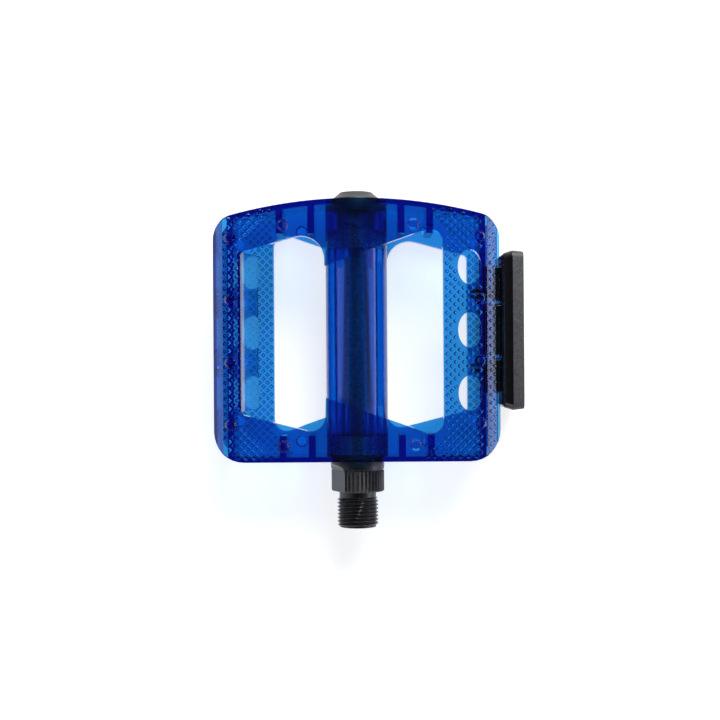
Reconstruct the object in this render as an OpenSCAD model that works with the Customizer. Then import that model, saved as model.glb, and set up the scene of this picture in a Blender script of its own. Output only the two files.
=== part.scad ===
// Flat pedal: a moulded platform that spins on a bearing axle, with one side reflector.
// X runs across the platform, Y along the axle away from the crank, Z through the thickness.
// The origin is on the axle, at the shoulder that seats against the crank arm.

/* [Platform] */
// Width of the platform, across the tread
platform_w = 97.8; // [97:0.1:99]
// Edge beside the crank, measured from the axle's shoulder
crank_edge_y = 11.05; // [11.05:0.05:11.6]
// Crown of the far edge, measured from the axle's shoulder
crown_y = 100.85; // [100:0.05:101.4]
// Radius of the crowned far edge
crown_r = 165; // [140:5:220]
// Corner radius at the far edge
far_corner_r = 8.5; // [6:0.5:10]
// Corner radius at the crank edge
crank_corner_r = 10.5; // [8:0.5:12]
// Thickness over the two tread plates
platform_t = 28; // [27:0.5:30]
// Thickness of one tread plate
plate_t = 4; // [3:0.5:4.5]

/* [Tread] */
// Where the narrow rail of a tread plate ends, from the axle
narrow_rail_x = 39.4; // [38:0.2:40.5]
// Where the wide rail of a tread plate starts, from the axle
wide_rail_x = 29.5; // [27:0.5:31]
// Width of an oval hole in the wide rail
oval_w = 8; // [6:0.2:8.4]
// Length of an oval hole in the wide rail
oval_l = 12; // [10:0.2:16]
// Distance from one oval hole to the next
oval_pitch = 21.5; // [19:0.5:23]
// Width of the sloped band along a side edge
band_w = 3.3; // [2:0.1:3.6]
// Slope of that band
band_slope = 40; // [30:1:42]
// Height of a moulded grip stud
stud_h = 1; // [0.5:0.1:1.5]
// Radius at the foot of a grip stud
stud_r = 2.1; // [1.5:0.1:2.5]

/* [Walls] */
// Thickness of the walls along the two end edges
end_wall_t = 1.6; // [1.2:0.1:2.5]
// Thickness of the webs that join the plates along the rails
web_t = 2.1; // [1.6:0.1:3]
// Inner face of a web, from the axle
web_x = 42; // [41.5:0.1:43]
// Thickness of a rib between the plates
rib_t = 2.4; // [1.2:0.1:2.6]

/* [Barrel] */
// Outside radius of the barrel
barrel_r = 10.75; // [10.3:0.05:11.5]
// Bore radius between the two bearings
barrel_bore_r = 6.8; // [6.3:0.1:7.5]
// Bore radius for the crank-side cup
inner_bore_r = 9; // [8.8:0.05:9.2]
// Bore radius for the far cup and the end cap
outer_bore_r = 8.4; // [8.3:0.05:8.6]

/* [Axle] */
// Thread radius at the crank end, for a 9/16 inch thread
thread_r = 7.14; // [7.1:0.01:7.15]
// Thread length
thread_l = 12.5; // [12:0.5:15]
// Radius of the knurled flange
flange_r = 9.5; // [9:0.1:9.8]
// Length of the knurled flange
flange_l = 7.5; // [6.5:0.1:8]
// Distance across the two wrench flats
flats_w = 15; // [14.9:0.05:15.1]
// Turn of the wrench flats about the axle
flats_turn = -65; // [-90:1:90]

/* [Bearings] */
// Diameter of a bearing ball
ball_d = 3.175; // [3.1:0.005:3.175]
// Balls in the crank-side row
inner_balls = 12; // [9:1:12]
// Balls in the far row
outer_balls = 11; // [8:1:11]

/* [Reflector] */
// Length of the reflector, along the axle
reflector_l = 54.7; // [51:0.1:58]
// Height of the reflector
reflector_h = 24; // [20:0.5:25]
// Distance between the two barbed pegs
peg_pitch = 25.6; // [20:0.2:30]
// Radius of a peg's shank
peg_r = 1.7; // [1.5:0.05:2]

/* [Hidden] */
half_w = platform_w / 2;
half_t = platform_t / 2;
crown_centre_y = crown_y - crown_r;
corner_steps = 8;
crown_steps = 28;
eps = 0.01;

// The middle of the oval holes, the studs along the rails and the sloped wall.
mid_y = 55.7;

// Where the oval holes and the sloped bands lie across a tread plate.
oval_x = 38.5;
band_right_x = 44.35;
band_left_x = -45.4;

// Grip studs of one tread face, as seen from that face.
stud_taper = 0.62;
rail_studs = [[-43, -31.7], [-43, -10.6], [-43, 10.6], [-43, 31.7],
              [42, -31.7], [42, -10.6], [42, 10.6], [42, 31.7]];
bar_studs = [[-25, 16.5], [19.9, 16.8], [-25, 91.7], [19.5, 91.7]];

// Ribs between the plates, by their middles, in the two end bars.
crank_rib_x = [-25.3, -15.4, 15.4, 25.3];
far_rib_x = [-26.2, -15.4, 15.4, 25.2];
crank_rib_end_y = 20;
far_rib_end_y = 89;

// The sloped wall under the narrow tread rail.
slope_top_x = -39.5;
slope_foot_x = -34.4;
slope_t = 1.8;
slope_l = 54.6;

// Bearing rows: where the ball centres lie, and the race that holds them.
inner_row_y = 16;
inner_row_r = 6.6;
outer_row_y = 87.6;
outer_row_r = 5.9;
race_gap = 0.06;
race_r = ball_d / 2 + race_gap;

// Axle stations past the flange.
collar_end_y = 11;
collar_r = 9.35;
journal_r = 7.1;
shaft_crank_r = 5.6;
shaft_far_r = 4.2;
lock_thread_r = 3.5;
lock_thread_y = 85.6;
axle_end_y = 98.2;

// Cups, seal, locking parts and cap along the axle.
inner_cup_y = [13.2, 19.5];
outer_cup_y = [84.2, 90.4];
seal_y = [11.5, 13.2];
seal_gap = 0.05;
cone_y = [86.2, 92];
washer_y = [92, 93.2];
nut_y = [93.2, 97.2];
nut_flats = 12;
cap_rim_y = 102;
cap_top_y = 104.2;
cap_foot_y = 96.8;

// Reflector stations across the platform.
reflector_y = 55.55;
reflector_x = [50.2, 53.4, 57.2];
lens_t = 2.4;
lens_border = 2.6;
lens_corner_r = 1.2;
pad_y = [[-21.6, -9.5], [-8.4, 9.3], [10.4, 22.5]];
pad_h = 10;
peg_tip_x = 39.5;

function ball_name(row, i) = str(row, "_ball_", i < 10 ? "0" : "", i);

// Outlines

function arc(centre, r, from, to, steps) =
    [for (i = [0:steps]) let (a = from + (to - from) * i / steps)
        centre + r * [cos(a), sin(a)]];

function unit(v) = v / norm(v);

// The fillet of radius r at b, between the edges from a and to c.
function fillet(a, b, c, r) =
    let (u = unit(a - b), w = unit(c - b), half = acos(u * w) / 2)
    let (centre = b + unit(u + w) * r / sin(half))
    let (p = b + u * r / tan(half) - centre, q = b + w * r / tan(half) - centre)
    let (from = atan2(p[1], p[0]), turn = atan2(p[0] * q[1] - p[1] * q[0], p * q))
    arc(centre, r, from, from + turn, corner_steps);

// A polygon from [x, y, fillet radius] corners.
function rounded(corners) =
    let (n = len(corners), at = function (i) [corners[(i + n) % n][0], corners[(i + n) % n][1]])
    [for (i = [0:n - 1]) each corners[i][2] == 0
        ? [at(i)]
        : fillet(at(i - 1), at(i), at(i + 1), corners[i][2])];

// The platform's outline: a straight crank edge, straight sides and a crowned far edge.
module platform_outline() {
    corner_x = half_w - far_corner_r;
    corner_y = crown_centre_y + sqrt(pow(crown_r - far_corner_r, 2) - pow(corner_x, 2));
    crown_start = atan2(corner_y - crown_centre_y, corner_x);
    low_x = half_w - crank_corner_r;
    low_y = crank_edge_y + crank_corner_r;
    polygon(concat(
        arc([low_x, low_y], crank_corner_r, -90, 0, corner_steps),
        arc([corner_x, corner_y], far_corner_r, 0, crown_start, corner_steps),
        arc([0, crown_centre_y], crown_r, crown_start, 180 - crown_start, crown_steps),
        arc([-corner_x, corner_y], far_corner_r, 180 - crown_start, 180, corner_steps),
        arc([-low_x, low_y], crank_corner_r, 180, 270, corner_steps)));
}

// The opening in one tread plate, on both sides of the barrel.
module opening() {
    polygon(rounded([
        [-narrow_rail_x, 27.4, 1.5], [-10.9, 20.2, 5], [-10.6, 32.9, 0],
        [18.3, 22.8, 6], [24, 20.6, 5], [wide_rail_x, 20.6, 4.2],
        [wide_rail_x, 89.8, 4.2], [24, 90.1, 5], [-10.8, 77.9, 0],
        [-10.9, 90.5, 8], [-narrow_rail_x, 82.6, 1.5]]));
}

module ovals() {
    for (i = [-1:1])
        translate([oval_x, mid_y + i * oval_pitch])
            polygon([for (a = [0:10:350]) [oval_w * cos(a), oval_l * sin(a)] / 2]);
}

// What the sloped bands take off the two side edges of a tread plate.
module side_bands() {
    foot = plate_t - band_w * tan(band_slope);
    for (top_x = [band_right_x, band_left_x])
        rotate([90, 0, 0])
            translate([0, 0, -2 * crown_y])
                linear_extrude(2 * crown_y)
                    polygon([[top_x, plate_t + eps], [top_x + sign(top_x) * band_w, foot],
                             [2 * top_x, foot], [2 * top_x, plate_t + eps]]);
}

module tread_plate() {
    difference() {
        linear_extrude(plate_t)
            difference() {
                platform_outline();
                opening();
                ovals();
            }
        side_bands();
    }
    for (p = concat([for (s = rail_studs) [s[0], mid_y + s[1]]], bar_studs))
        translate([p[0], p[1], plate_t])
            cylinder(h = stud_h, r1 = stud_r, r2 = stud_r * stud_taper, $fn = 32);
}

// The two end walls, along the crank edge and the crowned edge.
module end_walls() {
    span = 2 * web_x + web_t;
    translate([-span / 2, crank_edge_y])
        square([span, end_wall_t]);
    intersection() {
        translate([-span / 2, mid_y])
            square([span, crown_y]);
        difference() {
            translate([-span, mid_y])
                square([2 * span, crown_y]);
            translate([0, crown_centre_y])
                circle(crown_r - end_wall_t, $fn = 720);
        }
    }
}

module ribs() {
    for (x = crank_rib_x)
        translate([x - rib_t / 2, crank_edge_y])
            square([rib_t, crank_rib_end_y - crank_edge_y]);
    for (x = far_rib_x)
        translate([x - rib_t / 2, far_rib_end_y])
            square([rib_t, crown_y - far_rib_end_y]);
}

// Everything that stands between the two tread plates.
module walls() {
    translate([0, 0, plate_t - half_t - eps])
        linear_extrude(platform_t - 2 * plate_t + 2 * eps)
            intersection() {
                platform_outline();
                union() {
                    end_walls();
                    ribs();
                    for (x = [-web_x - web_t, web_x])
                        translate([x, 0])
                            square([web_t, 2 * crown_y]);
                }
            }
}

// The sloped wall that closes the underside of the narrow tread rail.
module sloped_wall() {
    top_z = half_t - eps;
    translate([0, mid_y + slope_l / 2, 0])
        rotate([90, 0, 0])
            linear_extrude(slope_l)
                polygon([[slope_top_x, top_z], [slope_top_x - slope_t, top_z],
                         [slope_foot_x - slope_t, -top_z], [slope_foot_x, -top_z]]);
}

module along_axle(from, to, r) {
    translate([0, from, 0])
        rotate([-90, 0, 0])
            cylinder(h = to - from, r = r, $fn = 96);
}

// A solid of revolution about the axle, from [radius, y] points.
module turned(profile) {
    rotate([-90, 0, 0])
        mirror([0, 1, 0])
            rotate_extrude($fn = 96)
                polygon(profile);
}

module race(r, y) {
    rotate([-90, 0, 0])
        translate([0, 0, y])
            rotate_extrude($fn = 96)
                translate([r, 0])
                    circle(race_r, $fn = 48);
}

module body() {
    color("mediumblue")
        difference() {
            union() {
                for (face = [0, 180])
                    rotate([0, face, 0])
                        translate([0, 0, half_t - plate_t])
                            tread_plate();
                walls();
                sloped_wall();
                along_axle(crank_edge_y, crown_y, barrel_r);
            }
            along_axle(crank_edge_y - 1, crown_y + 1, barrel_bore_r);
            along_axle(crank_edge_y - 1, inner_cup_y[1], inner_bore_r);
            along_axle(outer_cup_y[0], crown_y + 1, outer_bore_r);
            for (side = [-1, 1], peg = [-1, 1])
                translate([side * web_x, reflector_y + peg * peg_pitch / 2, 0])
                    rotate([0, 90 * side, 0])
                        translate([0, 0, -1])
                            cylinder(h = web_t + 2, r = peg_r + 0.05, $fn = 32);
        }
}

// Axle and bearings

module axle() {
    chamfer = 0.8;
    color("#22242a")
        difference() {
            turned([[0, -thread_l], [thread_r - chamfer, -thread_l],
                    [thread_r, chamfer - thread_l], [thread_r, 0],
                    [flange_r - 0.4, 0], [flange_r, 0.4],
                    [flange_r, flange_l - 0.4], [flange_r - 0.4, flange_l],
                    [collar_r, flange_l + 0.1], [collar_r, collar_end_y - 0.3],
                    [collar_r - 0.3, collar_end_y], [journal_r, collar_end_y],
                    [journal_r, inner_row_y - 1.8], [shaft_crank_r, inner_row_y + 1.3],
                    [shaft_crank_r, inner_cup_y[1] + 2], [shaft_far_r, outer_cup_y[0] - 3],
                    [shaft_far_r, lock_thread_y], [lock_thread_r, lock_thread_y],
                    [lock_thread_r, axle_end_y - 0.5], [lock_thread_r - 0.5, axle_end_y],
                    [0, axle_end_y]]);
            race(inner_row_r, inner_row_y);
            wrench_flats();
        }
}

// Two flats for a pedal spanner, each with a curved run-out.
module wrench_flats() {
    run_out_r = 2;
    flat_l = 9.8;
    rotate([0, flats_turn, 0])
        for (side = [0, 180])
            rotate([0, side, 0])
                translate([0, 0, flats_w / 2]) {
                    translate([-flange_r, -eps, 0])
                        cube([2 * flange_r, flat_l - run_out_r + eps, flange_r]);
                    translate([-flange_r, flat_l - run_out_r, run_out_r])
                        rotate([0, 90, 0])
                            cylinder(h = 2 * flange_r, r = run_out_r, $fn = 48);
                }
}

module inner_dust_seal() {
    color("#18181a")
        turned([[journal_r + seal_gap, seal_y[0]], [inner_bore_r - 0.3, seal_y[0]],
                [inner_bore_r, seal_y[0] + 0.3], [inner_bore_r, seal_y[1]],
                [journal_r + seal_gap, seal_y[1]]]);
}

module inner_cup() {
    bowl_r = 7.6;
    hole_r = 6.2;
    color("silver")
        difference() {
            turned([[bowl_r, inner_cup_y[0]], [inner_bore_r, inner_cup_y[0]],
                    [inner_bore_r, inner_cup_y[1]], [hole_r, inner_cup_y[1]],
                    [hole_r, inner_row_y], [bowl_r, inner_row_y]]);
            race(inner_row_r, inner_row_y);
        }
}

module outer_cup() {
    bowl_r = 7.3;
    hole_r = 5;
    color("silver")
        difference() {
            turned([[hole_r, outer_cup_y[0]], [outer_bore_r, outer_cup_y[0]],
                    [outer_bore_r, outer_cup_y[1]], [bowl_r, outer_cup_y[1]],
                    [bowl_r, outer_row_y], [hole_r, outer_row_y]]);
            race(outer_row_r, outer_row_y);
        }
}

module ball(r, y, turn) {
    color("gainsboro")
        rotate([0, turn, 0])
            translate([r, y, 0])
                sphere(d = ball_d, $fn = 48);
}

module outer_cone() {
    cone_r = 6.7;
    color("lightsteelblue")
        difference() {
            turned([[lock_thread_r, cone_y[0]], [lock_thread_r + 1, cone_y[0]],
                    [cone_r, outer_row_y + 1.8], [cone_r, cone_y[1]],
                    [lock_thread_r, cone_y[1]]]);
            race(outer_row_r, outer_row_y);
        }
}

// The washer that keeps the nut's turning off the cone.
module lock_washer() {
    color("darkgray")
        turned([[lock_thread_r, washer_y[0]], [6.4, washer_y[0]],
                [6.6, washer_y[0] + 0.2], [6.6, washer_y[1]], [lock_thread_r, washer_y[1]]]);
}

module lock_nut() {
    color("gray")
        difference() {
            translate([0, nut_y[0], 0])
                rotate([-90, 0, 0])
                    cylinder(h = nut_y[1] - nut_y[0], d = nut_flats / cos(30), $fn = 6);
            along_axle(nut_y[0] - 1, nut_y[1] + 1, lock_thread_r);
        }
}

module end_cap() {
    skirt_t = 0.9;
    roof_y = 99.4;
    color("#1c1c1e")
        turned([[0, roof_y], [outer_bore_r - skirt_t, roof_y],
                [outer_bore_r - skirt_t, cap_foot_y], [outer_bore_r - 0.3, cap_foot_y],
                [outer_bore_r, cap_foot_y + 0.3], [outer_bore_r, cap_rim_y - 0.2],
                [outer_bore_r - 0.2, cap_rim_y], [5.8, cap_top_y - 0.2],
                [5.4, cap_top_y], [0, cap_top_y]]);
}

// Reflector

module rounded_slab(l, h, t, r) {
    rotate([90, 0, 90])
        linear_extrude(t)
            translate([-l / 2, -h / 2])
                polygon(rounded([[0, 0, r], [l, 0, r], [l, h, r], [0, h, r]]));
}

module reflector_housing() {
    back_inset = 0.9;
    front_inset = 0.4;
    color("#151517")
        translate([0, reflector_y, 0]) {
            difference() {
                hull() {
                    translate([reflector_x[0], 0, 0])
                        rounded_slab(reflector_l - 2 * back_inset,
                                     reflector_h - 2 * back_inset, eps, 2);
                    translate([reflector_x[1], 0, 0])
                        rounded_slab(reflector_l, reflector_h, eps, 2.5);
                    translate([reflector_x[2] - eps, 0, 0])
                        rounded_slab(reflector_l - 2 * front_inset,
                                     reflector_h - 2 * front_inset, eps, 2.2);
                }
                translate([reflector_x[2] - lens_t, 0, 0])
                    rounded_slab(reflector_l - 2 * lens_border, reflector_h - 2 * lens_border,
                                 lens_t + 1, lens_corner_r);
            }
            for (pad = pad_y)
                translate([web_x + web_t, pad[0], -pad_h / 2])
                    cube([reflector_x[1] - web_x - web_t, pad[1] - pad[0], pad_h]);
            for (side = [-1, 1])
                translate([0, side * peg_pitch / 2, 0])
                    barbed_peg();
        }
}

// A split peg that snaps through a web.
module barbed_peg() {
    slot = 0.8;
    barb_r = peg_r + 0.35;
    difference() {
        translate([web_x + web_t + eps, 0, 0])
            rotate([0, -90, 0]) {
                cylinder(h = web_t + 0.2, r = peg_r, $fn = 32);
                translate([0, 0, web_t + 0.1])
                    cylinder(h = web_x - 0.1 - peg_tip_x, r1 = barb_r, r2 = peg_r * 0.7, $fn = 32);
            }
        translate([peg_tip_x - 1, -slot / 2, -barb_r - 1])
            cube([web_x + web_t - peg_tip_x, slot, 2 * barb_r + 2]);
    }
}

module reflector_lens() {
    gap = 0.05;
    recess = 0.3;
    color("orange")
        translate([reflector_x[2] - lens_t, reflector_y, 0])
            rounded_slab(reflector_l - 2 * lens_border - gap, reflector_h - 2 * lens_border - gap,
                         lens_t - recess, lens_corner_r);
}

body();
axle();
inner_dust_seal();
inner_cup();
outer_cup();
outer_cone();
lock_washer();
lock_nut();
end_cap();
reflector_housing();
reflector_lens();
for (i = [1:inner_balls])
    ball(inner_row_r, inner_row_y, 360 * i / inner_balls);
for (i = [1:outer_balls])
    ball(outer_row_r, outer_row_y, 360 * i / outer_balls);
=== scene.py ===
"""A translucent flat pedal on a white floor: its looks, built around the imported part.

Lengths are in millimetres in the helpers and become metres where a mesh is made.
"""

import math

import bmesh
import bpy
from mathutils import Matrix, Vector
from mathutils.bvhtree import BVHTree


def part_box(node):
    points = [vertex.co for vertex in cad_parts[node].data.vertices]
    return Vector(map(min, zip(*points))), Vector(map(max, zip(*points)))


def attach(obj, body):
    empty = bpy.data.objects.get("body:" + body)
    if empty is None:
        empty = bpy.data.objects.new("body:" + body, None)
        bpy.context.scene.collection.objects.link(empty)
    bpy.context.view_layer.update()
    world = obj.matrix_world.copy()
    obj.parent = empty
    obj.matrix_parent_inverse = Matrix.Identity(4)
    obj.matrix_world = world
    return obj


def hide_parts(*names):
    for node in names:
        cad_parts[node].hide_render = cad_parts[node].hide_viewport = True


MM = 0.001
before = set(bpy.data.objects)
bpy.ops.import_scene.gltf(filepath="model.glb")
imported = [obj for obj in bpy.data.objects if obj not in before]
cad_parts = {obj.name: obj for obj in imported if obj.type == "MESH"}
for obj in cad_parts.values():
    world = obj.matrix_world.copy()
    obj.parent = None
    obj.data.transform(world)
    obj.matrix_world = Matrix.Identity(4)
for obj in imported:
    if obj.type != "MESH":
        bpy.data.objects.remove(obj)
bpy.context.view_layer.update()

# ---------------------------------------------------------------- measures

BODY_LOW, BODY_HIGH = [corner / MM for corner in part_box("body")]
AXLE_LOW, AXLE_HIGH = [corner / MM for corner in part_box("axle")]
HOUSING_LOW, HOUSING_HIGH = [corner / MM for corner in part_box("reflector_housing")]
LENS_LOW, LENS_HIGH = [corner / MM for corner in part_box("reflector_lens")]
CAP_LOW, CAP_HIGH = [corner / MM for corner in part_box("end_cap")]

STUD_HEIGHT = 1.0
SHAFT_START_Y = 13.0
TREAD_Z = BODY_HIGH.z - STUD_HEIGHT
FLOOR_Z = BODY_LOW.z

# The crank thread, 9/16 inch by 20 turns to the inch, left-hand.
THREAD_PITCH = 1.27
THREAD_DEPTH = 0.72
THREAD_HAND = -1

# The camera looks straight down on the tread.
CAMERA_HEIGHT = 470
CAMERA_AT = Vector((1.1, 45.7, CAMERA_HEIGHT))
CAMERA_LENS = 67.2
CAMERA_ROLL = -0.4


# ---------------------------------------------------------------- mesh helpers

def piece(name, verts, faces, smooth_angle=35):
    """A mesh object from points in millimetres, shaded smooth up to an angle."""
    mesh = bpy.data.meshes.new(name)
    mesh.from_pydata([Vector(v) * MM for v in verts], [], faces)
    mesh.validate()
    bm = bmesh.new()
    bm.from_mesh(mesh)
    bmesh.ops.recalc_face_normals(bm, faces=bm.faces)
    bm.to_mesh(mesh)
    bm.free()
    obj = bpy.data.objects.new(name, mesh)
    bpy.context.scene.collection.objects.link(obj)
    shade(obj, smooth_angle)
    return obj


def shade(obj, angle):
    """Smooth shading, with edges sharper than the angle kept crisp."""
    mesh = obj.data
    mesh.polygons.foreach_set("use_smooth", [True] * len(mesh.polygons))
    mesh.set_sharp_from_angle(angle=math.radians(angle))


def weigh_normals(obj):
    """Keeps large flat faces flat where they meet rounded edges."""
    modifier = obj.modifiers.new("weighted_normals", "WEIGHTED_NORMAL")
    modifier.keep_sharp = True
    modifier.weight = 80


def combine(obj, other, operation):
    """Applies a solid boolean to obj and deletes the other object."""
    modifier = obj.modifiers.new("solid", "BOOLEAN")
    modifier.solver = "MANIFOLD"
    modifier.operation = operation
    modifier.object = other
    depsgraph = bpy.context.evaluated_depsgraph_get()
    result = bpy.data.meshes.new_from_object(obj.evaluated_get(depsgraph))
    obj.modifiers.remove(modifier)
    old = obj.data
    obj.data = result
    bpy.data.meshes.remove(old)
    bpy.data.objects.remove(other)


def grid_faces(rows, columns):
    """Quads between rings of points, each ring closed on itself."""
    return [(r * columns + c, r * columns + (c + 1) % columns,
             (r + 1) * columns + (c + 1) % columns, (r + 1) * columns + c)
            for r in range(rows - 1) for c in range(columns)]


def loft(name, rings, smooth_angle=35):
    """A closed solid through rings of equal length, capped flat at both ends."""
    columns = len(rings[0])
    verts = [v for ring in rings for v in ring]
    faces = grid_faces(len(rings), columns)
    faces.append(tuple(range(columns)))
    faces.append(tuple(range(len(verts) - columns, len(verts))))
    return piece(name, verts, faces, smooth_angle)


def turned(name, profile, segments, radius=None, smooth_angle=35):
    """A solid of revolution about the Y axis from [radius, y] points.

    radius(r, y, turn) may change a point's radius with its turn about the axis.
    """
    rings = []
    for r, y in profile:
        ring = []
        for i in range(segments):
            turn = 2 * math.pi * i / segments
            here = radius(r, y, turn) if radius else r
            ring.append((here * math.sin(turn), y, here * math.cos(turn)))
        rings.append(ring)
    return loft(name, rings, smooth_angle)


def arc_points(centre, r, start, end, steps):
    """Points on an arc in the [radius, y] plane, in degrees."""
    angles = [math.radians(start + (end - start) * i / steps) for i in range(steps + 1)]
    return [(centre[0] + r * math.cos(a), centre[1] + r * math.sin(a)) for a in angles]


def box_piece(name, low, high):
    """A plain block between two corners, used as a boolean tool or base."""
    corners = [(x, y, z) for x in (low[0], high[0]) for y in (low[1], high[1])
               for z in (low[2], high[2])]
    faces = [(0, 1, 3, 2), (4, 6, 7, 5), (0, 4, 5, 1), (2, 3, 7, 6), (0, 2, 6, 4), (1, 5, 7, 3)]
    return piece(name, corners, faces)


def rounded_ring(x, y_mid, length, height, corner, steps=6):
    """A rounded rectangle in a plane of constant x, centred on z = 0."""
    ring = []
    for quarter, (sy, sz) in enumerate([(1, 1), (-1, 1), (-1, -1), (1, -1)]):
        cy = y_mid + sy * (length / 2 - corner)
        cz = sz * (height / 2 - corner)
        for i in range(steps + 1):
            a = math.radians(90 * quarter + 90 * i / steps)
            ring.append((x, cy + corner * math.cos(a), cz + corner * math.sin(a)))
    return ring


# ---------------------------------------------------------------- materials

def material(name):
    """An empty node material with a Principled shader."""
    mat = bpy.data.materials.new(name)
    mat.use_nodes = True
    return mat, mat.node_tree.nodes, mat.node_tree.links, mat.node_tree.nodes["Principled BSDF"]


def noise(nodes, links, scale, detail=4.0, roughness=0.5):
    """Noise in the object's own coordinates."""
    place = nodes.new("ShaderNodeTexCoord")
    texture = nodes.new("ShaderNodeTexNoise")
    texture.inputs["Scale"].default_value = scale
    texture.inputs["Detail"].default_value = detail
    texture.inputs["Roughness"].default_value = roughness
    links.new(place.outputs["Object"], texture.inputs["Vector"])
    return texture


def spread(nodes, links, source, low, high):
    """Maps a 0 to 1 value onto a range."""
    remap = nodes.new("ShaderNodeMapRange")
    remap.inputs["To Min"].default_value = low
    remap.inputs["To Max"].default_value = high
    links.new(source, remap.inputs["Value"])
    return remap.outputs["Result"]


def bump(nodes, links, shader, source, distance, strength=1.0):
    """Height from a texture, in metres."""
    node = nodes.new("ShaderNodeBump")
    node.inputs["Distance"].default_value = distance
    node.inputs["Strength"].default_value = strength
    links.new(source, node.inputs["Height"])
    links.new(node.outputs["Normal"], shader.inputs["Normal"])


def tone_ramp(nodes, links, source, dark, light):
    """A colour between two tones, by a texture."""
    ramp = nodes.new("ShaderNodeValToRGB")
    ramp.color_ramp.elements[0].color = (*dark, 1)
    ramp.color_ramp.elements[1].color = (*light, 1)
    ramp.color_ramp.elements[0].position = 0.3
    ramp.color_ramp.elements[1].position = 0.7
    links.new(source, ramp.inputs["Fac"])
    return ramp.outputs["Color"]


def two_tone(nodes, links, shader, source, dark, light):
    """Base colour between two tones, by a texture."""
    links.new(tone_ramp(nodes, links, source, dark, light), shader.inputs["Base Color"])


def calc(nodes, links, operation, first, second):
    """One sum on two values; each is a node's output or a number."""
    node = nodes.new("ShaderNodeMath")
    node.operation = operation
    for value, socket in zip((first, second), node.inputs):
        if isinstance(value, (int, float)):
            socket.default_value = value
        else:
            links.new(value, socket)
    return node.outputs["Value"]


def tint(nodes, links, mask, base, colour):
    """The base colour, replaced by another where the mask is 1."""
    mix = nodes.new("ShaderNodeMix")
    mix.data_type = "RGBA"
    mix.inputs["B"].default_value = (*colour, 1)
    links.new(mask, mix.inputs["Factor"])
    links.new(base, mix.inputs["A"])
    return mix.outputs["Result"]


def knurl_masks(nodes, links):
    """Masks of the diamonds' flanks and tops, of the bands and of the rim beyond one band, for
    painting shade on the flanks and the rim and a highlight on the tops.
    """
    place = nodes.new("ShaderNodeTexCoord")
    split = nodes.new("ShaderNodeSeparateXYZ")
    links.new(place.outputs["Object"], split.inputs["Vector"])
    side = calc(nodes, links, "SIGN", split.outputs["Z"], 0)
    x = calc(nodes, links, "MULTIPLY", split.outputs["X"], side)
    height = calc(nodes, links, "ABSOLUTE", split.outputs["Z"], 0)
    right = calc(nodes, links, "SUBTRACT", x, BAND_TOPS[0] * MM)
    left = calc(nodes, links, "SUBTRACT", BAND_TOPS[1] * MM, x)
    outside = calc(nodes, links, "MAXIMUM", calc(nodes, links, "MAXIMUM", right, left), 0)
    fall = calc(nodes, links, "MULTIPLY", outside, math.tan(BAND_SLOPE))
    above = calc(nodes, links, "ADD", height, fall)
    raised = calc(nodes, links, "GREATER_THAN", above, (TREAD_Z + 0.03) * MM)
    crown_highlight_mask = calc(nodes, links, "GREATER_THAN", above, (TREAD_Z + KNURL_HEIGHT * 0.9) * MM)
    stud = calc(nodes, links, "GREATER_THAN", above, (TREAD_Z + KNURL_HEIGHT * 1.4) * MM)
    flank_shade_mask = calc(nodes, links, "SUBTRACT", raised, crown_highlight_mask)
    band = calc(nodes, links, "GREATER_THAN", outside, 0)
    rim_shade_mask = calc(nodes, links, "LESS_THAN", x, -(BAND_TOPS[0] + BAND_WIDTH) * MM)
    return flank_shade_mask, calc(nodes, links, "SUBTRACT", crown_highlight_mask, stud), band, rim_shade_mask


def blue_polycarbonate():
    """Clear moulded plastic whose blue deepens with thickness; the knurl carries painted shade on
    its flanks and on the rim beyond one band, and a painted highlight on its tops.
    """
    mat, nodes, links, shader = material("blue_polycarbonate")
    shader.inputs["Transmission Weight"].default_value = 1.0
    shader.inputs["IOR"].default_value = 1.55
    flow = noise(nodes, links, 60, 2)
    plain = tone_ramp(nodes, links, flow.outputs["Fac"], (0.15, 0.6, 0.86), (0.2, 0.66, 0.9))
    flank_shade_mask, crown_highlight_mask, band, rim_shade_mask = knurl_masks(nodes, links)
    band_flank_shade_mask = calc(nodes, links, "MULTIPLY", flank_shade_mask, band)
    # Painted shade: the rim beyond one band is darkened to deep navy.
    tone_and_painted_light = tint(nodes, links, rim_shade_mask, plain, (0.004, 0.06, 0.32))
    # Painted shade: the diamonds' flanks are a darker blue than the plain plate.
    tone_and_painted_light = tint(nodes, links, flank_shade_mask, tone_and_painted_light, (0.09, 0.42, 0.76))
    # Painted shade: the flanks on the sloped band are darker still, painted as dark diamonds.
    tone_and_painted_light = tint(nodes, links, band_flank_shade_mask, tone_and_painted_light, (0.01, 0.1, 0.4))
    # Painted highlight: the diamonds' flat tops are a pale, nearly white blue.
    tone_and_painted_light = tint(nodes, links, crown_highlight_mask, tone_and_painted_light, (0.62, 0.86, 1.0))
    links.new(tone_and_painted_light, shader.inputs["Base Color"])
    links.new(spread(nodes, links, flow.outputs["Fac"], 0.03, 0.1), shader.inputs["Roughness"])
    ripple = noise(nodes, links, 160, 1)
    bump(nodes, links, shader, ripple.outputs["Fac"], 0.00004, 0.25)

    shadow = nodes.new("ShaderNodeBsdfTransparent")
    shadow.inputs["Color"].default_value = (0.9, 0.8, 0.72, 1)
    path = nodes.new("ShaderNodeLightPath")
    mix = nodes.new("ShaderNodeMixShader")
    output = nodes["Material Output"]
    links.new(path.outputs["Is Shadow Ray"], mix.inputs["Fac"])
    links.new(shader.outputs["BSDF"], mix.inputs[1])
    links.new(shadow.outputs["BSDF"], mix.inputs[2])
    links.new(mix.outputs["Shader"], output.inputs["Surface"])

    depth = nodes.new("ShaderNodeVolumeAbsorption")
    depth.inputs["Color"].default_value = (0.05, 0.61, 0.89, 1)
    depth.inputs["Density"].default_value = 500
    links.new(depth.outputs["Volume"], output.inputs["Volume"])
    return mat


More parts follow.
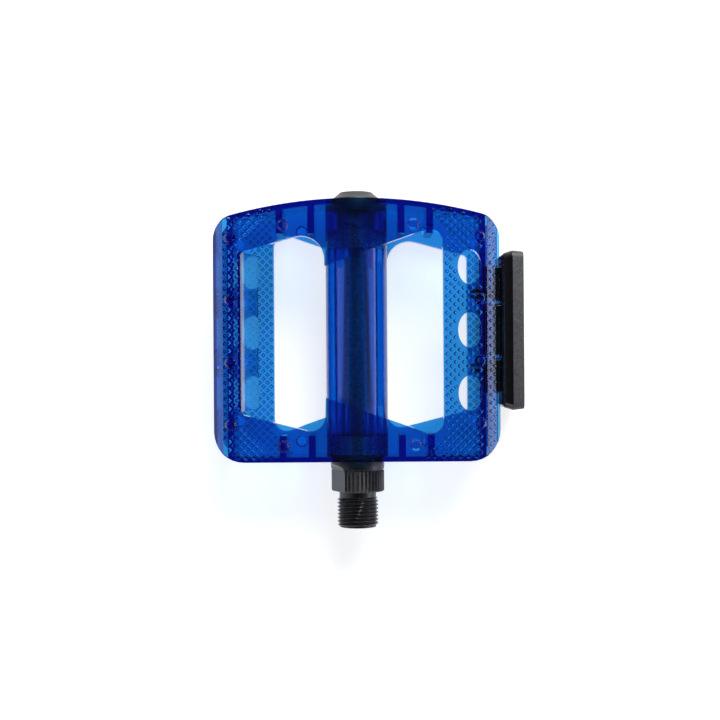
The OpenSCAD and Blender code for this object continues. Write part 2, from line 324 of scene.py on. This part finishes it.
def axle_steel():
    """Black-oxide steel outside the barrel, oiled bright steel inside it."""
    mat, nodes, links, shader = material("axle_steel")
    shader.inputs["Metallic"].default_value = 0.9
    wear = noise(nodes, links, 900, 6, 0.65)
    dark = tone_ramp(nodes, links, wear.outputs["Fac"], (0.035, 0.035, 0.04), (0.065, 0.065, 0.073))
    bright = tone_ramp(nodes, links, wear.outputs["Fac"], (0.34, 0.36, 0.38), (0.6, 0.61, 0.63))
    place = nodes.new("ShaderNodeTexCoord")
    split = nodes.new("ShaderNodeSeparateXYZ")
    inside = nodes.new("ShaderNodeMath")
    inside.operation = "GREATER_THAN"
    inside.inputs[1].default_value = SHAFT_START_Y * MM
    mix = nodes.new("ShaderNodeMix")
    mix.data_type = "RGBA"
    links.new(place.outputs["Object"], split.inputs["Vector"])
    links.new(split.outputs["Y"], inside.inputs[0])
    links.new(inside.outputs["Value"], mix.inputs["Factor"])
    links.new(dark, mix.inputs["A"])
    links.new(bright, mix.inputs["B"])
    links.new(mix.outputs["Result"], shader.inputs["Base Color"])
    links.new(spread(nodes, links, wear.outputs["Fac"], 0.24, 0.34), shader.inputs["Roughness"])
    bump(nodes, links, shader, wear.outputs["Fac"], 0.000008, 0.3)
    return mat


def steel(name, dark, light, low_rough, high_rough, scale):
    """Bare steel, from polished balls to a zinc-plated nut."""
    mat, nodes, links, shader = material(name)
    shader.inputs["Metallic"].default_value = 1.0
    grain = noise(nodes, links, scale, 5, 0.6)
    two_tone(nodes, links, shader, grain.outputs["Fac"], dark, light)
    links.new(spread(nodes, links, grain.outputs["Fac"], low_rough, high_rough),
              shader.inputs["Roughness"])
    bump(nodes, links, shader, grain.outputs["Fac"], 0.00001, 0.4)
    return mat


def moulded_black(name, dark, light, rough, grain_depth, grain_scale):
    """Black plastic with a fine moulded grain."""
    mat, nodes, links, shader = material(name)
    grain = noise(nodes, links, grain_scale, 3, 0.6)
    cloud = noise(nodes, links, 90, 3)
    two_tone(nodes, links, shader, cloud.outputs["Fac"], dark, light)
    links.new(spread(nodes, links, grain.outputs["Fac"], rough - 0.08, rough + 0.08),
              shader.inputs["Roughness"])
    bump(nodes, links, shader, grain.outputs["Fac"], grain_depth, 0.8)
    return mat


def amber_lens():
    """Amber acrylic that glows a little, as a prismatic reflector does."""
    mat, nodes, links, shader = material("amber_lens")
    cells = noise(nodes, links, 500, 2)
    two_tone(nodes, links, shader, cells.outputs["Fac"], (0.85, 0.18, 0.005), (1.0, 0.33, 0.02))
    shader.inputs["Transmission Weight"].default_value = 0.35
    shader.inputs["IOR"].default_value = 1.49
    shader.inputs["Coat Weight"].default_value = 1.0
    shader.inputs["Coat Roughness"].default_value = 0.03
    links.new(spread(nodes, links, cells.outputs["Fac"], 0.08, 0.2), shader.inputs["Roughness"])
    return mat


def housing_plastic():
    """Black plastic: polished behind the ridge and grained in front of it, with painted shade
    making the colour behind the ridge nearly black.
    """
    mat, nodes, links, shader = material("housing_plastic")
    grain = noise(nodes, links, 1300, 3, 0.6)
    place = nodes.new("ShaderNodeTexCoord")
    split = nodes.new("ShaderNodeSeparateXYZ")
    links.new(place.outputs["Object"], split.inputs["Vector"])
    front = calc(nodes, links, "GREATER_THAN", split.outputs["X"], RIDGE_X * MM)
    # Painted shade: behind the ridge the colour is nearly black, far darker than the grained front.
    polished_side_painted_shade = tone_ramp(nodes, links, grain.outputs["Fac"],
                         (0.002, 0.002, 0.003), (0.004, 0.004, 0.005))
    rough = tone_ramp(nodes, links, grain.outputs["Fac"],
                      (0.02, 0.021, 0.025), (0.055, 0.057, 0.064))
    mix = nodes.new("ShaderNodeMix")
    mix.data_type = "RGBA"
    links.new(front, mix.inputs["Factor"])
    links.new(polished_side_painted_shade, mix.inputs["A"])
    links.new(rough, mix.inputs["B"])
    links.new(mix.outputs["Result"], shader.inputs["Base Color"])
    roughness = calc(nodes, links, "MULTIPLY", front, 0.42)
    links.new(calc(nodes, links, "ADD", roughness, 0.12), shader.inputs["Roughness"])
    front_grain = calc(nodes, links, "MULTIPLY", grain.outputs["Fac"], front)
    bump(nodes, links, shader, front_grain, 0.00012, 0.5)
    return mat


def white_floor():
    """A matt white sweep that glows a little, like paper lit from behind."""
    mat, nodes, links, shader = material("white_floor")
    paper = noise(nodes, links, 40, 3)
    two_tone(nodes, links, shader, paper.outputs["Fac"], (0.5, 0.5, 0.5), (0.52, 0.52, 0.52))
    shader.inputs["Roughness"].default_value = 0.9
    shader.inputs["Specular IOR Level"].default_value = 0.1
    shader.inputs["Emission Color"].default_value = (1, 1, 1, 1)
    shader.inputs["Emission Strength"].default_value = 0.7
    return mat


def dress(obj, mat):
    """Gives an object one material."""
    obj.data.materials.clear()
    obj.data.materials.append(mat)


# ---------------------------------------------------------------- platform

# The raised diamonds of the tread: spacing, half-widths at foot and top, and height.
KNURL_PITCH = 2.8
KNURL_HALF = 0.9
KNURL_TOP = 0.36
KNURL_HEIGHT = 0.5

# The sloped bands along the side edges: where they start and how far in the first diamond is.
BAND_SLOPE = math.radians(40)
BAND_TOPS = (44.35, -45.4)
BAND_WIDTH = 3.3
BAND_FIRST = 1.25

# Where the knurl starts: the wide and narrow rails in x, and the slanted lines at the
# far and the crank-side corners by the sum or difference of x and y.
WIDE_RAIL_X, NARROW_RAIL_X = 30.4, -40
WIDE_FAR_LINE, WIDE_CRANK_LINE = 121.0, 10.4
NARROW_FAR_LINE, NARROW_CRANK_LINE = 123.8, -16.2


def in_knurled_zone(x, y):
    """Where one tread carries the knurl, seen from its own side."""
    if x > 0:
        return x > WIDE_RAIL_X or x + y > WIDE_FAR_LINE or x - y > WIDE_CRANK_LINE
    return x < NARROW_RAIL_X or y - x > NARROW_FAR_LINE or x + y < NARROW_CRANK_LINE


def knurl_diamond(at, across, along, up, outer=1.0):
    """A raised, truncated diamond pyramid. outer shortens its corner towards +across."""
    sunk = at - up * 0.15
    corners = (across * outer, along, -across, -along)
    verts = [sunk + d * KNURL_HALF * 1.1 for d in corners]
    verts += [at + up * KNURL_HEIGHT + d * KNURL_TOP for d in corners]
    faces = [(3, 2, 1, 0), (4, 5, 6, 7)]
    faces += [(i, (i + 1) % 4, (i + 1) % 4 + 4, i + 4) for i in range(4)]
    return verts, faces


def knurl(body_tree, side):
    """Every diamond of one tread. side is 1 for the upper tread, -1 for the lower one."""
    verts, faces = [], []
    half = KNURL_PITCH / 2
    margin = KNURL_HALF + 0.12
    flip = Matrix.Diagonal((side, 1, side))

    def lands_on(x, y, height_at, reach):
        """Whether the whole foot of a diamond lies on one face of the tread."""
        for dx, dy in ((0, 0), (reach, 0), (-margin, 0), (0, margin), (0, -margin)):
            start = Vector((side * (x + dx), y + dy, side * 40)) * MM
            hit = body_tree.ray_cast(start, Vector((0, 0, -side)))[0]
            if hit is None or abs(side * hit.z / MM - height_at(x + dx)) > 0.03:
                return False
        return True

    def add(x, y, z, across, up, outer=1.0):
        new_verts, new_faces = knurl_diamond(
            flip @ Vector((x, y, z)), flip @ across, Vector((0, 1, 0)), flip @ up, outer)
        base = len(verts)
        verts.extend(new_verts)
        faces.extend(tuple(i + base for i in face) for face in new_faces)

    across = Vector((1, 0, -math.tan(BAND_SLOPE)))
    up = Vector((math.sin(BAND_SLOPE), 0, math.cos(BAND_SLOPE)))
    for row in range(int(BODY_LOW.y / half), int(BODY_HIGH.y / half) + 1):
        y = row * half
        for column in range(int(BODY_LOW.x / half), int(BODY_HIGH.x / half) + 1):
            x = column * half
            if (row + column) % 2 or not in_knurled_zone(x, y):
                continue
            if lands_on(x, y, lambda _: TREAD_Z, margin):
                add(x, y, TREAD_Z, Vector((1, 0, 0)), Vector((0, 0, 1)))
        for column, outer in ((0, 1.0), (1, 0.3)):
            x = BAND_TOPS[0] + BAND_FIRST + column * half
            reach = margin if column == 0 else 0.3
            if (row + column) % 2 == 0 and lands_on(x, y, band_height, reach):
                add(x, y, band_height(x), across, up, outer)
    return verts, faces


def band_height(x):
    """The height at x of the sloped band on the wide side, the only band with a knurl."""
    return TREAD_Z - max(0, x - BAND_TOPS[0]) * math.tan(BAND_SLOPE)


RIM_ANGLE = 47


def soften_rims(obj, offset):
    """Rounds the crisp outer edges of the two tread plates."""
    bm = bmesh.new()
    bm.from_mesh(obj.data)
    bmesh.ops.remove_doubles(bm, verts=bm.verts, dist=1e-7)
    bmesh.ops.dissolve_limit(bm, angle_limit=math.radians(0.5), verts=bm.verts, edges=bm.edges)
    inner_z = 9.9 * MM
    top_z = (TREAD_Z + 0.01) * MM
    rims = []
    for edge in bm.edges:
        if len(edge.link_faces) != 2 or not edge.is_convex:
            continue
        if any(not inner_z < abs(v.co.z) < top_z for v in edge.verts):
            continue
        if math.degrees(edge.calc_face_angle()) > RIM_ANGLE:
            rims.append(edge)
    bmesh.ops.bevel(bm, geom=rims, offset=offset * MM, segments=4, profile=0.5,
                    affect="EDGES", clamp_overlap=True)
    bm.to_mesh(obj.data)
    bm.free()


def make_platform():
    """The moulding: the CAD shape, with softened rims and the knurl grown out of it."""
    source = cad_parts["body"]
    obj = bpy.data.objects.new("platform_shell", source.data.copy())
    bpy.context.scene.collection.objects.link(obj)
    tree = BVHTree.FromObject(obj, bpy.context.evaluated_depsgraph_get())
    soften_rims(obj, 0.5)
    for side, name in ((1, "knurl_upper"), (-1, "knurl_lower")):
        verts, faces = knurl(tree, side)
        combine(obj, piece(name, verts, faces), "UNION")
    shade(obj, 9.5)
    weigh_normals(obj)
    dress(obj, blue_polycarbonate())
    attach(obj, "platform")
    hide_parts("body")
    return obj


# ---------------------------------------------------------------- axle

THREAD_R = 7.14
FLANGE_R = 9.5
FLANGE_L = 7.5
COLLAR_R = 9.35
KNURL_TEETH = 45


def axle_radius(r, y, turn):
    """Cuts the thread and the flange's straight knurl into the turned shape."""
    if y < -0.1:
        crest = (y / THREAD_PITCH + THREAD_HAND * turn / (2 * math.pi)) % 1
        height = max(0.0, min(1.0, (abs(crest - 0.5) * 2 - 0.12) / 0.76))
        fade = max(0.0, min(1.0, (-1.9 - y) / 0.9))
        cut = THREAD_DEPTH * (1 - height * fade)
        return max(r - cut, min(r, THREAD_R - THREAD_DEPTH))
    if 0.3 < y < FLANGE_L and r > 9.2:
        tooth = (turn * KNURL_TEETH / (2 * math.pi)) % 1
        return r - 0.34 * min(1.0, abs(tooth - 0.5) * 2.4)
    return r


def axle_profile():
    """Radius and y from the threaded tip to the locking end."""
    tip = AXLE_LOW.y
    points = [(THREAD_R - 1.0, tip), (THREAD_R - 0.75, tip + 0.12)]
    rows = 112
    start = tip + 0.4
    for i in range(rows + 1):
        y = start + (-0.12 - start) * i / rows
        points.append((min(THREAD_R, THREAD_R - 0.6 + (y - tip) * 0.6), y))
    points += [(THREAD_R - THREAD_DEPTH, -0.1), (THREAD_R - THREAD_DEPTH, 0), (8.9, 0)]
    points += [(FLANGE_R - 0.15, 0.35), (FLANGE_R, 0.6), (FLANGE_R, FLANGE_L - 0.35)]
    points += [(FLANGE_R - 0.12, FLANGE_L - 0.05), (8.9, FLANGE_L), (8.9, FLANGE_L + 0.18)]
    points += [(COLLAR_R - 0.08, FLANGE_L + 0.22), (COLLAR_R, FLANGE_L + 0.35)]
    points += [(COLLAR_R, 10.7), (COLLAR_R - 0.1, 10.9), (COLLAR_R - 0.3, 11.0)]
    points += [(7.1, 11.0), (7.1, 14.2), (6.95, 14.38)]
    points += arc_points((6.6, 16), 1.66, 282, 128, 10)
    points += [(5.6, 17.35), (5.6, 21.5), (4.2, 81.2), (4.2, 85.6), (3.55, 85.6), (3.5, 85.7)]
    points += [(3.5, 97.7), (3.0, AXLE_HIGH.y)]
    return points


def flat_cutter(name, turn):
    """A milling cut for one spanner flat, with its curved run-out."""
    run_out, length, across = 3.0, 9.8, 11
    outline = [(-1, 0), (length - run_out, 0)]
    outline += [(length - run_out + run_out * math.sin(math.radians(a)),
                 run_out - run_out * math.cos(math.radians(a))) for a in range(10, 91, 10)]
    outline += [(length, 6), (-1, 6)]
    out_of_flat = Matrix.Rotation(math.radians(turn), 3, "Y")
    rings = [[out_of_flat @ Vector((x, y, 7.5 + up)) for y, up in outline]
             for x in (-across, across)]
    return loft(name, rings)


def make_axle():
    """One forging: thread, knurled flange, polished collar, race and tapered shaft."""
    obj = turned("spindle_shaft", axle_profile(), KNURL_TEETH * 6, axle_radius)
    for index, turn in enumerate((-65, 115)):
        combine(obj, flat_cutter(f"flat_{index}", turn), "DIFFERENCE")
    shade(obj, 28)
    dress(obj, axle_steel())
    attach(obj, "spindle")
    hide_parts("axle")
    return obj


# ---------------------------------------------------------------- cap and reflector

def make_end_cap():
    """The plug in the barrel's far end, with a soft-edged cone and a hollow skirt."""
    bore_r, rim_y = 8.4, 102
    profile = [(0.05, 99.4), (7.3, 99.4), (7.5, 99.2), (7.5, CAP_LOW.y), (8.1, CAP_LOW.y)]
    profile += [(bore_r, CAP_LOW.y + 0.3), (bore_r, rim_y - 0.25), (bore_r - 0.1, rim_y - 0.06)]
    profile += [(bore_r - 0.25, rim_y + 0.02), (5.95, 103.75)]
    profile += arc_points((5.3, 103.45), 0.72, 30, 86, 5)
    profile += [(4.4, CAP_HIGH.y), (4.2, CAP_HIGH.y - 0.25), (0.05, CAP_HIGH.y - 0.3)]
    obj = turned("barrel_plug", profile, 96)
    dress(obj, moulded_black("cap_plastic", (0.018, 0.018, 0.02), (0.035, 0.035, 0.038),
                             0.42, 0.00008, 1500))
    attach(obj, "platform")
    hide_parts("end_cap")
    return obj


REFLECTOR_Y = (HOUSING_LOW.y + HOUSING_HIGH.y) / 2
HOUSING_L = HOUSING_HIGH.y - HOUSING_LOW.y
HOUSING_H = HOUSING_HIGH.z - HOUSING_LOW.z
WEB_FACE_X = 44.1
RIDGE_X = 53.4


def make_housing():
    """The holder: a ridged tray with three foot pads and two barbed pegs."""
    front, back, pocket = HOUSING_HIGH.x, 49.7, LENS_LOW.x
    pocket_l, pocket_h = LENS_HIGH.y - LENS_LOW.y + 0.1, LENS_HIGH.z - LENS_LOW.z + 0.1
    stations = [(back, 3.6, 1.6), (back + 0.25, 3.1, 1.9), (back + 0.8, 2.4, 2.0),
                (back + 1.0, 1.6, 2.2), (RIDGE_X - 0.35, 0.1, 2.5), (RIDGE_X, 0, 2.5),
                (RIDGE_X + 0.35, 0.05, 2.5), (front - 0.5, 0.7, 2.2), (front - 0.15, 0.9, 2.1),
                (front, 1.3, 2.0)]
    rings = [rounded_ring(x, REFLECTOR_Y, HOUSING_L - inset, HOUSING_H - inset, corner)
             for x, inset, corner in stations]
    rings.append(rounded_ring(front, REFLECTOR_Y, pocket_l + 0.3, pocket_h + 0.3, 1.3))
    rings.append(rounded_ring(front - 0.15, REFLECTOR_Y, pocket_l, pocket_h, 1.2))
    rings.append(rounded_ring(pocket, REFLECTOR_Y, pocket_l, pocket_h, 1.2))
    obj = loft("reflector_holder", rings, 28)
    for index, (low, high) in enumerate(((-21.6, -9.5), (-8.4, 9.3), (10.4, 22.5))):
        mid = REFLECTOR_Y + (low + high) / 2
        rings = [rounded_ring(x, mid, high - low - trim, 10 - trim, 1.0 - trim / 2)
                 for x, trim in ((WEB_FACE_X, 0.5), (WEB_FACE_X + 0.25, 0), (51.5, 0))]
        combine(obj, loft(f"pad_{index}", rings), "UNION")
    for index, side in enumerate((-1, 1)):
        combine(obj, barbed_peg(f"peg_{index}", REFLECTOR_Y + side * 12.8), "UNION")
    shade(obj, 28)
    dress(obj, housing_plastic())
    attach(obj, "platform")
    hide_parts("reflector_housing")
    return obj


def barbed_peg(name, y):
    """A split peg that snaps through the web of the rail."""
    profile = [(0.3, 39.5), (1.1, 39.5), (1.3, 39.7), (2.05, 41.75), (2.0, 41.95), (1.7, 41.97),
               (1.7, 44.4)]
    obj = turned(name, profile, 40)
    obj.data.transform(Matrix.Translation(Vector((0, y, 0)) * MM)
                       @ Matrix.Rotation(math.radians(-90), 4, "Z"))
    combine(obj, box_piece(name + "_slot", (39, y - 0.4, -3), (43.9, y + 0.4, 3)), "DIFFERENCE")
    return obj


def make_lens():
    """The amber lens: a lip round three panels of small corner prisms."""
    front, back = LENS_HIGH.x, LENS_LOW.x
    lens_l, lens_h = LENS_HIGH.y - LENS_LOW.y, LENS_HIGH.z - LENS_LOW.z
    rings = [rounded_ring(x, REFLECTOR_Y, lens_l - trim, lens_h - trim, 1.15)
             for x, trim in ((back, 0), (front - 0.25, 0), (front - 0.08, 0.15), (front, 0.4),
                             (front, 2.2), (front - 0.55, 2.6))]
    obj = loft("reflector_prisms", rings, 28)
    pitch, rise = 1.55, 0.5
    verts, faces = [], []
    panel_h = lens_h - 3.2
    rows = int(panel_h / pitch)
    columns = int((lens_l - 6.5) / 3 / pitch)
    floor_x = front - 0.6
    for panel in (-1, 0, 1):
        for row in range(rows):
            for column in range(columns):
                panel_y = REFLECTOR_Y + panel * (columns * pitch + 1.3)
                y = panel_y + (column - (columns - 1) / 2) * pitch
                z = (row - (rows - 1) / 2) * pitch
                base = len(verts)
                verts += [(floor_x - 0.1, y + sy * pitch * 0.49, z + sz * pitch * 0.49)
                          for sy, sz in ((-1, -1), (1, -1), (1, 1), (-1, 1))]
                verts.append((floor_x + rise, y, z))
                faces += [tuple(base + i for i in (3, 2, 1, 0))]
                faces += [(base + i, base + (i + 1) % 4, base + 4) for i in range(4)]
    combine(obj, piece("prisms", verts, faces), "UNION")
    shade(obj, 20)
    dress(obj, amber_lens())
    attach(obj, "platform")
    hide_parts("reflector_lens")
    return obj


# ---------------------------------------------------------------- carried-over parts

def dress_bearings():
    """Materials for the CAD nodes that stay: balls, races, locking parts and the seal."""
    balls = steel("ball_steel", (0.72, 0.73, 0.75), (0.82, 0.83, 0.85), 0.04, 0.1, 700)
    races = steel("race_steel", (0.4, 0.41, 0.43), (0.6, 0.61, 0.63), 0.2, 0.35, 1100)
    lock = steel("lock_steel", (0.3, 0.31, 0.33), (0.5, 0.5, 0.52), 0.25, 0.45, 900)
    seal = moulded_black("seal_rubber", (0.012, 0.012, 0.012), (0.025, 0.025, 0.025),
                         0.6, 0.00005, 1200)
    named = {"inner_cup": races, "outer_cup": races, "outer_cone": races,
             "lock_washer": lock, "lock_nut": lock, "inner_dust_seal": seal}
    for name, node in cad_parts.items():
        mat = named.get(name) or (balls if "_ball_" in name else None)
        if mat:
            dress(node, mat)
            shade(node, 35)


# ---------------------------------------------------------------- stage

def aim(obj, target):
    """Turns a light's -Z axis towards a point in millimetres."""
    direction = Vector(target) * MM - obj.location
    obj.rotation_euler = direction.to_track_quat("-Z", "Y").to_euler()


def softbox(name, at, target, width, height, radiance):
    """A rectangular light of a given brightness, sizes in millimetres."""
    light = bpy.data.lights.new(name, "AREA")
    light.shape = "RECTANGLE"
    light.size = width * MM
    light.size_y = height * MM
    light.energy = radiance * math.pi * width * height * MM * MM
    obj = bpy.data.objects.new(name, light)
    obj.location = Vector(at) * MM
    bpy.context.scene.collection.objects.link(obj)
    aim(obj, target)
    return obj


def make_stage():
    """Floor, lights, sky and camera."""
    reach = 6000
    floor = piece("floor", [(-reach, -reach, FLOOR_Z), (reach, -reach, FLOOR_Z),
                            (reach, reach, FLOOR_Z), (-reach, reach, FLOOR_Z)], [(0, 1, 2, 3)])
    dress(floor, white_floor())

    middle = (0, 50, 0)
    softbox("key_back_right", (250, 850, 650), middle, 650, 600, 12.0)
    softbox("fill_front_left", (-350, -750, 650), middle, 600, 500, 1.4)
    softbox("strip_right", (700, 50, 140), (0, 50, 10), 900, 260, 1.3)

    world = bpy.data.worlds.new("studio")
    bpy.context.scene.world = world
    world.use_nodes = True
    nodes, links = world.node_tree.nodes, world.node_tree.links
    place = nodes.new("ShaderNodeTexCoord")
    split = nodes.new("ShaderNodeSeparateXYZ")
    ramp = nodes.new("ShaderNodeValToRGB")
    ramp.color_ramp.elements[0].position = 0.3
    ramp.color_ramp.elements[0].color = (0.9, 0.9, 0.9, 1)
    ramp.color_ramp.elements[1].position = 0.9
    ramp.color_ramp.elements[1].color = (0.05, 0.05, 0.05, 1)
    links.new(place.outputs["Generated"], split.inputs["Vector"])
    links.new(split.outputs["Z"], ramp.inputs["Fac"])
    links.new(ramp.outputs["Color"], nodes["Background"].inputs["Color"])
    nodes["Background"].inputs["Strength"].default_value = 1.0

    data = bpy.data.cameras.new("camera")
    data.lens = CAMERA_LENS
    data.sensor_width = 36
    data.clip_start = 0.01
    camera = bpy.data.objects.new("camera", data)
    camera.location = CAMERA_AT * MM
    camera.rotation_euler = (0, 0, math.radians(CAMERA_ROLL))
    bpy.context.scene.collection.objects.link(camera)
    bpy.context.scene.camera = camera

    view = bpy.context.scene.view_settings
    view.view_transform = "Standard"
    view.look = "None"


make_platform()
make_axle()
make_end_cap()
make_housing()
make_lens()
dress_bearings()
make_stage()
